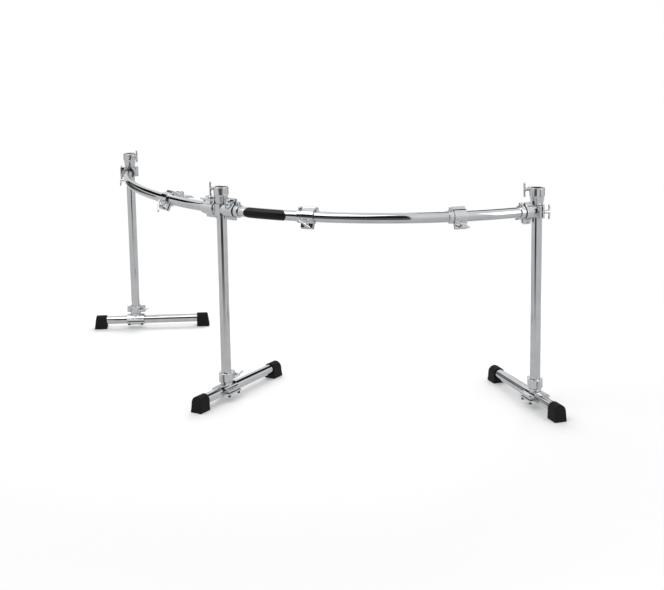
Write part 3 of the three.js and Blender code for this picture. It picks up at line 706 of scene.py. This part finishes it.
def collarMesh():
    v = collar
    top, edge, skirt, run, band = v["height"], v["edge"], v["skirt"], v["run"], v["band"]
    waist, rise = band - v["step"], skirt + v["rise"]
    profile = [(0, 0), (v["foot"] - edge, 0)]
    profile += arcPoints(edge, -90, 0, v["foot"] - edge, edge)[1:]
    profile += [(waist - v["taper"], skirt - run)]
    few, half = detail["corner"], ((waist + band) / 2, (skirt + rise) / 2)
    profile += curvePoints(profile[-1], (waist, skirt), half, few)
    profile += curvePoints(profile[-1], (band, rise), (band, rise + run), few)
    profile += arcPoints(edge, 0, 90, band - edge, top - edge, detail["bend"])
    profile += [(0, top)]
    lugTop = top - edge
    lugLow = lugTop - v["lugHeight"]
    lug = eyeBar(v["lug"], 2 * v["lugThick"], v["margin"], lugLow, lugTop, ribEdge)
    rib = ribBar(v["rib"], v["ribWidth"], skirt, lugTop)
    boom, mouth, lip, floor = v["boom"] + v["boomGap"], v["mouth"], v["lip"], top - v["mouthDepth"]
    above = top + overrun
    bore = [(0, 0), (boom, 0), (boom, floor), (mouth, floor), (mouth, top - lip), (mouth + lip, top)]
    bore += [(mouth + lip, above), (0, above)]
    slot = v["slot"] / 2
    return cutBy(
        joined(turned(profile), lug, rib),
        rod(boreRadius, -overrun, skirt),
        turned(bore),
        block(0, beyond, -slot, slot, skirt + v["slotFloor"], above),
        holeAcross(tBolt["hole"], v["lug"], (lugLow + lugTop) / 2),
    )


ringEdges = {"side": 0.2, "below": 0.1, "sunk": 0.5, "outside": 0.6, "inside": 1.6}


def boreShadeBushingMesh():
    # Black ring in the mouth of the collar, which the boom passes through. Its black is partly painted shade that
    # stands for the collar's dark, shaded bore
    v, edges = collar, ringEdges
    outside, inside = edges["outside"], edges["inside"]
    inner, outer = v["boom"] + v["boomGap"] + edges["side"], v["mouth"] - edges["side"]
    low, high = v["height"] - v["mouthDepth"] + edges["below"], v["height"] - edges["sunk"]
    profile = [(inner, low), (outer, low), (outer, high - outside), (outer - outside, high)]
    profile += [(inner + inside, high)]
    profile += curvePoints(profile[-1], (inner, high), (inner, high - inside), detail["corner"])
    return turned(profile)


collarCup, boreShadeBushing = collarMesh(), boreShadeBushingMesh()
for side in sides:
    low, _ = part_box(f"boom_collar_{side}")
    matrix = postFrame(side, f"{side}_collar_bolt_spin", 1, low.z / mm)
    place(f"{side}BoomCollar", collarCup, matrix, f"boom_collar_{side}")
    # the ring's black is partly painted shade for the collar's shaded bore
    place(f"{side}BoomBushingBoreShade", boreShadeBushing, matrix, f"boom_collar_{side}", boreShadeBushingFinish)
print("collars made")


# Hinged clamps: the bore runs along Z, the ear points along X, and a half lies above the X axis

hinged = {
    "wall": 7.6, "earBolt": 37, "earThick": 10, "earMargin": 8, "split": 4, "flange": 8, "edge": 1,
    "hinge": 31, "knuckle": 5.5, "pin": 2.4, "pinHead": 1.2, "pinRoom": 0.35, "gap": 0.3,
    "pinSides": 20, "corner": 2.5, "blend": 32, "hingeBlend": 17, "ringSteps": 28,
}
clampOuter = boreRadius + hinged["wall"]


def halfOutline():
    v = hinged
    low, high, corner = v["split"] / 2, v["earThick"], v["corner"]
    tip = v["earBolt"] + v["earMargin"]
    blend = radians(v["blend"])
    outline = [(-v["hinge"], low), (tip, low)]
    outline += arcPoints(corner, 0, 90, tip - corner, high - corner, detail["bend"])
    outline += [(v["earBolt"] - v["flange"] - v["gap"], high)]
    start = (clampOuter * cos(blend), clampOuter * sin(blend))
    outline += curvePoints(outline[-1], (clampOuter, high), start, detail["flare"])
    outline += arcPoints(clampOuter, v["blend"], 180 - v["hingeBlend"], count=v["ringSteps"])[1:]
    outline += [(-v["hinge"], v["knuckle"])]
    return outline


def clampHalf(low, high, hinges, bolts, jaw, loose=False):
    # hinges: (low, high) of each; bolts: places along Z. The jaw carries the outer knuckles and the pin.
    # A loose half has the wider bolt holes, which the T-bolt swings out of with the other half.
    v = hinged
    half = softened(prism(halfOutline(), low, high), v["edge"])
    own, rooms, holes = [], [], []
    for start, stop in hinges:
        third = (stop - start) / 3
        knuckles = [(start, start + third), (start + third, stop - third), (stop - third, stop)]
        for i, (bottom, top) in enumerate(knuckles):
            mine = jaw == (i != 1)
            gap = v["gap"] / 2 if mine else -v["gap"] / 2
            spill = 0 if mine else v["gap"]
            bottom = bottom + gap if i else bottom - spill
            top = top - gap if i < 2 else top + spill
            radius = v["knuckle"] + spill
            knuckle = shifted(rod(radius, bottom, top, detail["smallRound"]), -v["hinge"], 0, 0)
            (own if mine else rooms).append(knuckle)
        reach = v["pinHead"] if jaw else v["pinHead"] + v["gap"]
        pin = rod(v["pin"] if jaw else v["pin"] + v["pinRoom"], start - reach, stop + reach, v["pinSides"])
        (own if jaw else holes).append(shifted(pin, -v["hinge"], 0, 0))
    holes += [holeAcross(tBolt["swingHole" if loose else "hole"], v["earBolt"], spot) for spot in bolts]
    return cutBy(joined(cutBy(half, *rooms), *own), *holes)


def barRoom(bar, start, end, home, steps=None):
    # The room that a bar needs in a clamp, in the frame of the clamp's home on the bar
    steps = steps or max(detail["roomSteps"], int(abs(end - start) / detail["roomStep"]))
    mesh = bentTube(bar, start, end, boreRadius, steps=steps)
    mesh.transform(home.inverted())
    return mesh


postRoom = rod(boreRadius, -beyond, beyond)


# End clamps: a half ring for the post and one for the bar, whose T-bolt points along -Y at the left end
# and along +Y at the right

endClamp = {"start": 28.5, "length": 30, "ring": 44, "barTilt": 10, "postTurn": 11, "space": 70}


def endClampMeshes(bar, distance, away):
    v, gap, split, space = endClamp, hinged["gap"], hinged["split"] / 2, endClamp["space"]
    tilt, turn = radians(v["barTilt"]), away * radians(v["postTurn"])
    barEar = Vector((0, -away * sin(tilt), -cos(tilt)))
    barBolt = Vector((0, -away * cos(tilt), sin(tilt)))
    postEar = Vector((sin(turn), -cos(turn), 0))
    postBody = Vector((cos(turn), sin(turn), 0)) * away
    start, end, half = v["start"], v["start"] + v["length"], v["ring"] / 2
    middle = (start + end) / 2
    room = barRoom(bar, distance - space, distance - tubeStock["tail"] + gap, station(bar, distance))
    neck = softened(rod(clampOuter, split, start - gap), hinged["edge"])
    neck = seat(neck, (0, away, 0), axisZ)
    jawSpace = seat(block(-space, space, -space, split, -space, space), postEar, postBody)
    rootEnd = hinged["wall"] - start
    barHalf = seat(clampHalf(-end, rootEnd, [(-end, -start)], [-middle], False), barEar, barBolt)
    ring = seat(clampHalf(-half, half, [(-half, half)], [0], False, True), postEar, postBody)
    barJaw = seat(clampHalf(start, end, [(start, end)], [middle], True, True), barEar, -barBolt)
    postJaw = seat(clampHalf(-half, half, [(-half, half)], [0], True), postEar, -postBody)
    body = cutBy(
        joined(barHalf, cutBy(neck, jawSpace), ring),
        room, postRoom,
        rod(clampOuter, half, space),
        rod(clampOuter, -space, -half),
    )
    return body, cutBy(barJaw, room), cutBy(postJaw, postRoom)


for side, barName, away in (("left", "side", 1), ("right", "front", -1)):
    bar = bars[barName]
    matrix = station(bar, bar["length"])
    body, barJaw, postJaw = endClampMeshes(bar, bar["length"], away)
    place(f"{side}RackClamp", body, matrix, f"rack_clamp_{side}")
    place(f"{side}BarJaw", barJaw, matrix, f"bar_jaw_{side}")
    place(f"{side}PostJaw", postJaw, matrix, f"post_jaw_{side}")
print("end clamps made")


# Centre clamp: one back and one front hold both bars and the post

centreClamp = {"reach": 74, "bolt": 52, "hingeStart": 27, "waist": 23.5, "ring": 44, "sideRoomSteps": 16}


def centreClampMeshes():
    v, gap = centreClamp, hinged["gap"]
    reach, inner, half = v["reach"], v["hingeStart"], v["ring"] / 2
    hinges = [(-reach, -inner), (inner, reach)]
    bolts = [-v["bolt"], v["bolt"]]
    # both bars leave the post along one line, so their rooms share the front bar's first place
    home, start, end = station(bars["front"], 0), tubeStock["tail"] - gap, reach + overrun
    sideRoom = barRoom(bars["side"], start, end, home, v["sideRoomSteps"])
    rooms = [barRoom(bars["front"], start, end, home), sideRoom, postRoom]
    waist = cutBy(rod(clampOuter + overrun, -inner, inner), rod(v["waist"], -reach, reach))
    waist = seat(waist, axisY, axisZ)
    below = block(-inner, inner, -beyond, beyond, -beyond, -half)
    above = block(-inner, inner, -beyond, beyond, half, beyond)
    trims = [waist, below, above]
    ring = softened(rod(clampOuter, -half, half), hinged["edge"])
    split = hinged["split"] / 2
    backRing = common(ring, block(-beyond, beyond, split, beyond, -beyond, beyond))
    frontRing = common(ring, block(-beyond, beyond, -beyond, -split, -beyond, beyond))
    back = seat(clampHalf(-reach, reach, hinges, bolts, False, True), axisZ, axisY)
    front = seat(clampHalf(-reach, reach, hinges, bolts, True), axisZ, (0, -1, 0))
    back = joined(cutBy(back, *trims), backRing)
    front = joined(cutBy(front, *trims), frontRing)
    return cutBy(back, *rooms), cutBy(front, *rooms)


backMesh, frontMesh = centreClampMeshes()
centreMatrix = station(bars["front"], 0)
place("centreRackClamp", backMesh, centreMatrix, "rack_clamp_centre")
place("centreFrontJaw", frontMesh, centreMatrix, "front_jaw_centre")
print("centre clamp made")


# Bar clamps: a boom socket on the drummer's side, the ears below the bar lean to the audience

barClamp = {
    "length": 46, "offset": 49, "boom": 12.7, "boomGap": 0.3, "lead": 1, "wall": 6, "height": 48,
    "corner": 2.5, "boss": 9, "bossLength": 9, "bossEdge": 1.2, "bossSides": 40,
    "neck": 26, "neckEdge": 3, "tilt": 25,
}


def barClampMeshes(bar, distance):
    v = barClamp
    half, top, corner, offset = v["length"] / 2, v["height"] / 2, v["corner"], v["offset"]
    bore = v["boom"] + v["boomGap"]
    outer = bore + v["wall"]
    profile = [(0, -top)]
    profile += arcPoints(corner, -90, 0, outer - corner, corner - top)
    profile += arcPoints(corner, 0, 90, outer - corner, top - corner)
    profile += [(0, top)]
    socket = shifted(turned(profile), 0, offset, 0)
    bossRadius, bossEnd, edge = v["boss"], offset + outer + v["bossLength"], v["bossEdge"]
    profile = [(0, offset), (bossRadius, offset), (bossRadius, bossEnd - edge), (bossRadius - edge, bossEnd)]
    boss = seat(turned(profile + [(0, bossEnd)], v["bossSides"]), axisZ, axisX)
    across = v["neck"] / 2
    neck = softened(block(-across, across, -across, across, clampOuter / 2, offset), v["neckEdge"])
    neck = seat(neck, axisZ, axisX)
    home = station(bar, distance)
    room = barRoom(bar, distance - half - overrun, distance + half + overrun, home)
    lead, wide, past = v["lead"], bore + v["lead"], top + overrun
    boomBore = turned([
        (0, -past), (wide, -past), (wide, -top), (bore, lead - top),
        (bore, top - lead), (wide, top), (wide, past), (0, past),
    ])
    boltHole = rod(tBolt["hole"], offset, bossEnd + overrun, detail["hole"])
    boltHole = seat(boltHole, axisZ, axisX)
    tilt = radians(v["tilt"])
    ear = Vector((0, -sin(tilt), -cos(tilt)))
    bolt = Vector((0, -cos(tilt), sin(tilt)))
    shell = seat(clampHalf(-half, half, [(-half, half)], [0], False, True), ear, -bolt)
    body = cutBy(joined(shell, socket, boss, neck), room, shifted(boomBore, 0, offset, 0), boltHole)
    jaw = cutBy(seat(clampHalf(-half, half, [(-half, half)], [0], True), ear, bolt), room)
    return body, jaw


barOf = {"a": bars["front"], "b": bars["front"], "c": bars["side"]}
for letter, bar in barOf.items():
    distance = distanceAlong(bar, jointPoint(f"clamp_jaw_{letter}_swing"))
    body, jaw = barClampMeshes(bar, distance)
    matrix = station(bar, distance)
    place(f"barClamp{letter.upper()}", body, matrix, f"bar_clamp_{letter}")
    place(f"barClampJaw{letter.upper()}", jaw, matrix, f"bar_clamp_jaw_{letter}")
print("bar clamps made")


# Memory locks: narrow split rings with a square-headed key screw across the lugs

lock = {
    "width": 16, "wall": 5.4, "lug": 31, "lugThick": 7, "lugWidth": 12, "lugNose": 3, "noseSteps": 4,
    "slot": 2, "edge": 0.9,
    "key": 3, "keyHead": 5, "keyHeadRadius": 4, "keyEdge": 0.8, "washer": 5, "washerThick": 1,
}


def memoryLockMeshes(bar, distance):
    v = lock
    half, outer, thick, nose = v["width"] / 2, boreRadius + v["wall"], v["lugThick"], v["lugNose"]
    room = barRoom(bar, distance - half - overrun, distance + half + overrun, station(bar, distance))
    ring = seat(softened(rod(outer, -half, half), v["edge"]), axisY, axisZ)
    top = v["lug"] + v["key"]
    outline = [(thick, 0), (thick, top - 2 * nose), (thick, top - nose)]
    outline += curvePoints(outline[-1], (thick, top), (thick - nose, top), v["noseSteps"])
    outline += [(-x, y) for x, y in reversed(outline)]
    across = v["lugWidth"] / 2
    lugs = seat(softened(prism(outline, -across, across), v["edge"]), axisY, axisZ)
    slot = block(-half - overrun, half + overrun, -v["slot"] / 2, v["slot"] / 2, 0, v["lug"] + overrun)
    key, edge, end = v["keyHeadRadius"], v["keyEdge"], thick + v["keyHead"]
    screw = joined(
        rod(v["key"], -thick - v["key"], thick, detail["hole"]),
        rod(v["washer"], thick, thick + v["washerThick"], detail["hole"]),
        turned([(0, thick), (key, thick), (key, end - edge), (key - edge, end), (0, end)], 4),
    )
    screw = seat(screw, axisX, axisZ, (0, 0, v["lug"] - v["key"]))
    return cutBy(joined(ring, lugs), room, slot), screw


lockBars = {"a": "front", "b": "front", "centre_left": "side", "centre_right": "front", "right": "front"}
for name, barName in lockBars.items():
    bar, node = bars[barName], f"memory_lock_{name}"
    low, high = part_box(node)
    distance = distanceAlong(bar, (low + high) / 2 / mm)
    ring, screw = memoryLockMeshes(bar, distance)
    label = camelName(f"lock_{name}")
    place(label, ring, station(bar, distance), node)
    place(label + "Screw", screw, station(bar, distance), node, screwFinish)
print("memory locks made")


# Name plate: a thin bare plate with round ends, wrapped on the audience side of the front bar

plate = {
    "start": 121, "end": 297, "halfAngle": 70, "thick": 1.4, "gap": 0.15,
    "stations": 72, "points": 24, "leastRise": 0.2,
}


def plateMesh():
    v = plate
    bar = bars["front"]
    inner = tubeStock["radius"] + v["gap"]
    outer = inner + v["thick"]
    high = outer * sin(radians(v["halfAngle"]))
    steps, count = v["stations"], v["points"]
    walls = []
    for radius in (inner, outer):
        rings = []
        for step in range(steps + 1):
            # the stations crowd towards the round ends
            share = (1 - cos(pi * step / steps)) / 2
            distance = v["start"] + (v["end"] - v["start"]) * share
            inside = min(distance - v["start"], v["end"] - distance, high)
            rise = sqrt(max(high ** 2 - (high - inside) ** 2, v["leastRise"]))
            spread = asin(rise / outer)
            matrix = station(bar, distance)
            ring = []
            for i in range(count + 1):
                angle = (2 * i / count - 1) * spread
                point = Vector((0, -radius * cos(angle), radius * sin(angle)))
                ring.append(tuple(matrix @ point))
            rings.append(ring)
        walls.append(rings)
    rings = [innerRing + list(reversed(outerRing)) for innerRing, outerRing in zip(*walls)]
    return lofted(rings)


place("namePlate", plateMesh(), Matrix(), finish=enamelFinish, body="rack", smooth=40)
print("name plate made")


# Stage: white floor, white surroundings and black cards for the dark lines in the chrome

stage = {
    "floor": "#FDFDFD", "halfSize": 30, "roughness": 0.9, "speckleScale": 40, "speckleStrength": 0.02,
    "shadowShare": 0.95, "shadowReach": 1.4, "shadowFade": 2.1, "diffuseLevel": 0.62, "cameraYaw": 6.55,
}
floorMaterial, floorTree, floorShader, floorPlace = newMaterial("white studio floor", {
    "Base Color": hexColor(stage["floor"]), "Roughness": stage["roughness"],
})
speckleSize = {"Scale": stage["speckleScale"], "Detail": 2}
speckle = addNode(floorTree, "TexNoise", speckleSize, {"Vector": floorPlace})
speckleRelief = {"Strength": stage["speckleStrength"], "Distance": mm}
speckleBump = addNode(floorTree, "Bump", speckleRelief, {"Height": speckle.outputs["Fac"]})
floorTree.links.new(speckleBump.outputs["Normal"], floorShader.inputs["Normal"])
white = {"Strength": 1.0, "Color": (1, 1, 1, 1)}
glow = addNode(floorTree, "Emission", white)
# the floor takes shadows round the object and is plain white further out
away = addNode(floorTree, "VectorMath", {"operation": "LENGTH"}, {0: floorPlace})
fade = {
    "From Min": stage["shadowReach"], "From Max": stage["shadowFade"],
    "To Min": stage["shadowShare"], "To Max": 0,
}
shadowShare = addNode(floorTree, "MapRange", fade, {"Value": away.outputs["Value"]})
floorLayers = {
    "Fac": shadowShare.outputs["Result"],
    1: glow.outputs["Emission"],
    2: floorShader.outputs["BSDF"],
}
mixed = addNode(floorTree, "MixShader", links=floorLayers)
floorTree.links.new(mixed.outputs["Shader"], floorTree.nodes["Material Output"].inputs["Surface"])

half = stage["halfSize"]
floorCorners = [(-half, -half, 0), (half, -half, 0), (half, half, 0), (-half, half, 0)]
floorMesh = meshFrom(floorCorners, [(0, 1, 2, 3)])
floorMesh.materials.append(floorMaterial)
floor = newObject("studioFloor", floorMesh)
floor.visible_glossy = False

# Cards that only reflections see: two opposite corners each, in metres from the centre post, X to the
# camera's right. A card stands facing the camera, stands along its line of sight or lies overhead.
cards = {
    "frontCard": ((-0.79, -1.666, -1.5), (0.81, -1.666, 3.3)),
    "frontLeftCard": ((-1.8, -1.666, 0.5), (-0.79, -1.666, 3.3)),
    "backFlag": ((0.9, 0.9, 2.5), (3.1, 3.3, 2.5)),
    "greyFlag": ((4.2, 1.1, 3.5), (5.7, 5.0, 3.5)),
    "farLeftCard": ((-6.0, 3.5, -1.5), (-1.9, 3.5, 1.3)),
    "farRightCard": ((1.9, 3.5, -1.5), (6.0, 3.5, 1.3)),
    "leftFlag": ((-1.75, 0.5, 1.2), (-1.75, 3.5, 2.2)),
}
# height in metres, brightness: below, the floor in front fades into the dark; the highest card is grey
cardLevels = [
    (-0.35, 0.72), (-0.2, 0.66), (-0.07, 0.42), (0.13, 0.15), (0.3, 0.04),
    (0.45, 0.1), (0.95, 0.13), (1.1, 0.012), (3.35, 0.012), (3.45, 0.3),
]
cameraYaw = radians(stage["cameraYaw"])
cardMaterial, cardTree, _, cardSpot = newMaterial("black card", {})
cardHeight = addNode(cardTree, "SeparateXYZ", links={"Vector": cardSpot}).outputs["Z"]
cardShade = brightnessBy(cardTree, cardHeight, cardLevels)
cardGlow = addNode(cardTree, "Emission", {"Strength": 1.0}, {"Color": cardShade})
cardTree.links.new(cardGlow.outputs["Emission"], cardTree.nodes["Material Output"].inputs["Surface"])
cardHome = Matrix.Translation(postAxis["centre"] * mm)
cardHome.translation.z = 0
for name, ((x1, y1, z1), (x2, y2, z2)) in cards.items():
    if z1 == z2:
        corners = [(x1, y1, z1), (x2, y1, z1), (x2, y2, z1), (x1, y2, z1)]
    else:
        corners = [(x1, y1, z1), (x2, y2, z1), (x2, y2, z2), (x1, y1, z2)]
    cardMesh = meshFrom(corners, [(0, 1, 2, 3)])
    cardMesh.transform(cardHome @ Matrix.Rotation(cameraYaw, 4, "Z"))
    cardMesh.materials.append(cardMaterial)
    card = newObject(name, cardMesh)
    for kind in ("camera", "diffuse", "transmission", "volume_scatter", "shadow"):
        setattr(card, f"visible_{kind}", False)

world = bpy.data.worlds.new("studio")
bpy.context.scene.world = world
world.use_nodes = True
skyTree = world.node_tree
direction = addNode(skyTree, "TexCoord").outputs["Generated"]
slope = addNode(skyTree, "SeparateXYZ", links={"Vector": direction}).outputs["Z"]
# sine of the elevation, brightness
skyLevels = [
    (-1, 0.62), (-0.9, 0.66), (-0.35, 0.7), (-0.1, 0.74), (0.1, 0.78), (0.4, 1), (0.9, 1), (1, 0.9),
]
path = addNode(skyTree, "LightPath")
levels = {"To Min": stage["diffuseLevel"], "To Max": 1.0}
strength = addNode(skyTree, "MapRange", levels, {"Value": path.outputs["Is Glossy Ray"]})
around = skyTree.nodes["Background"]
skyTree.links.new(brightnessBy(skyTree, slope, skyLevels), around.inputs["Color"])
skyTree.links.new(strength.outputs["Result"], around.inputs["Strength"])
plain = addNode(skyTree, "Background", white)
# the camera sees plain white
skyLayers = {
    "Fac": path.outputs["Is Camera Ray"],
    1: around.outputs["Background"],
    2: plain.outputs["Background"],
}
seen = addNode(skyTree, "MixShader", links=skyLayers)
skyTree.links.new(seen.outputs["Shader"], skyTree.nodes["World Output"].inputs["Surface"])


def areaLamp(name, size, watts, spot, target):
    data = bpy.data.lights.new(name, "AREA")
    data.shape, data.size, data.size_y, data.energy = "RECTANGLE", size[0], size[1], watts
    lamp = newObject(name, data)
    lamp.location = spot
    lamp.rotation_euler = (Vector(target) - Vector(spot)).to_track_quat("-Z", "Y").to_euler()
    return lamp


lamps = [
    areaLamp("overheadSoftbox", (2.4, 1.6), 25, (-0.8, -1.2, 2.6), (0, 0, 0.5)),
    areaLamp("sideSoftbox", (1.0, 2.2), 12, (2.8, -1.8, 1.6), (0, 0, 0.5)),
    areaLamp("backSoftbox", (4, 1.5), 66, (0, 2.6, 1.9), (0, -0.2, 0)),
]
# the back light only throws the shadows to the front
lamps[-1].visible_glossy = False
print("stage made")


# Camera, solved from the posts, feet and bars in the photograph

# focal length and sizes in pixels of the picture, angles in degrees, the eye in millimetres
lens = {
    "focal": 1186.3, "centreY": 179.8, "width": 664, "height": 590,
    "pitch": 8.58, "roll": -0.857, "sensor": 36,
}
eye = {"x": 907.4, "y": -4280.3, "z": 1495.8}
pitch, roll = radians(lens["pitch"]), radians(lens["roll"])
ahead = Vector((0, cos(pitch), -sin(pitch)))
above = Vector((0, sin(pitch), cos(pitch)))
right = Vector((cos(roll), 0, 0)) + above * sin(roll)
above = above * cos(roll) - Vector((sin(roll), 0, 0))
yaw = Matrix.Rotation(cameraYaw, 3, "Z")
cameraTurn = frameOf(yaw @ right, yaw @ above, yaw @ -ahead)
cameraData = bpy.data.cameras.new("camera")
cameraData.sensor_width = lens["sensor"]
cameraData.lens = lens["focal"] / lens["width"] * cameraData.sensor_width
cameraData.shift_y = -(lens["height"] / 2 - lens["centreY"]) / lens["width"]
camera = newObject("camera", cameraData)
cameraTurn.translation = (postAxis["centre"] + Vector((eye["x"], eye["y"], 0))) * mm
cameraTurn.translation.z = eye["z"] * mm
camera.matrix_world = cameraTurn
bpy.context.scene.camera = camera
bpy.context.scene.view_settings.view_transform = "Standard"

for spare in [mesh for mesh in bpy.data.meshes if not mesh.users]:
    bpy.data.meshes.remove(spare)
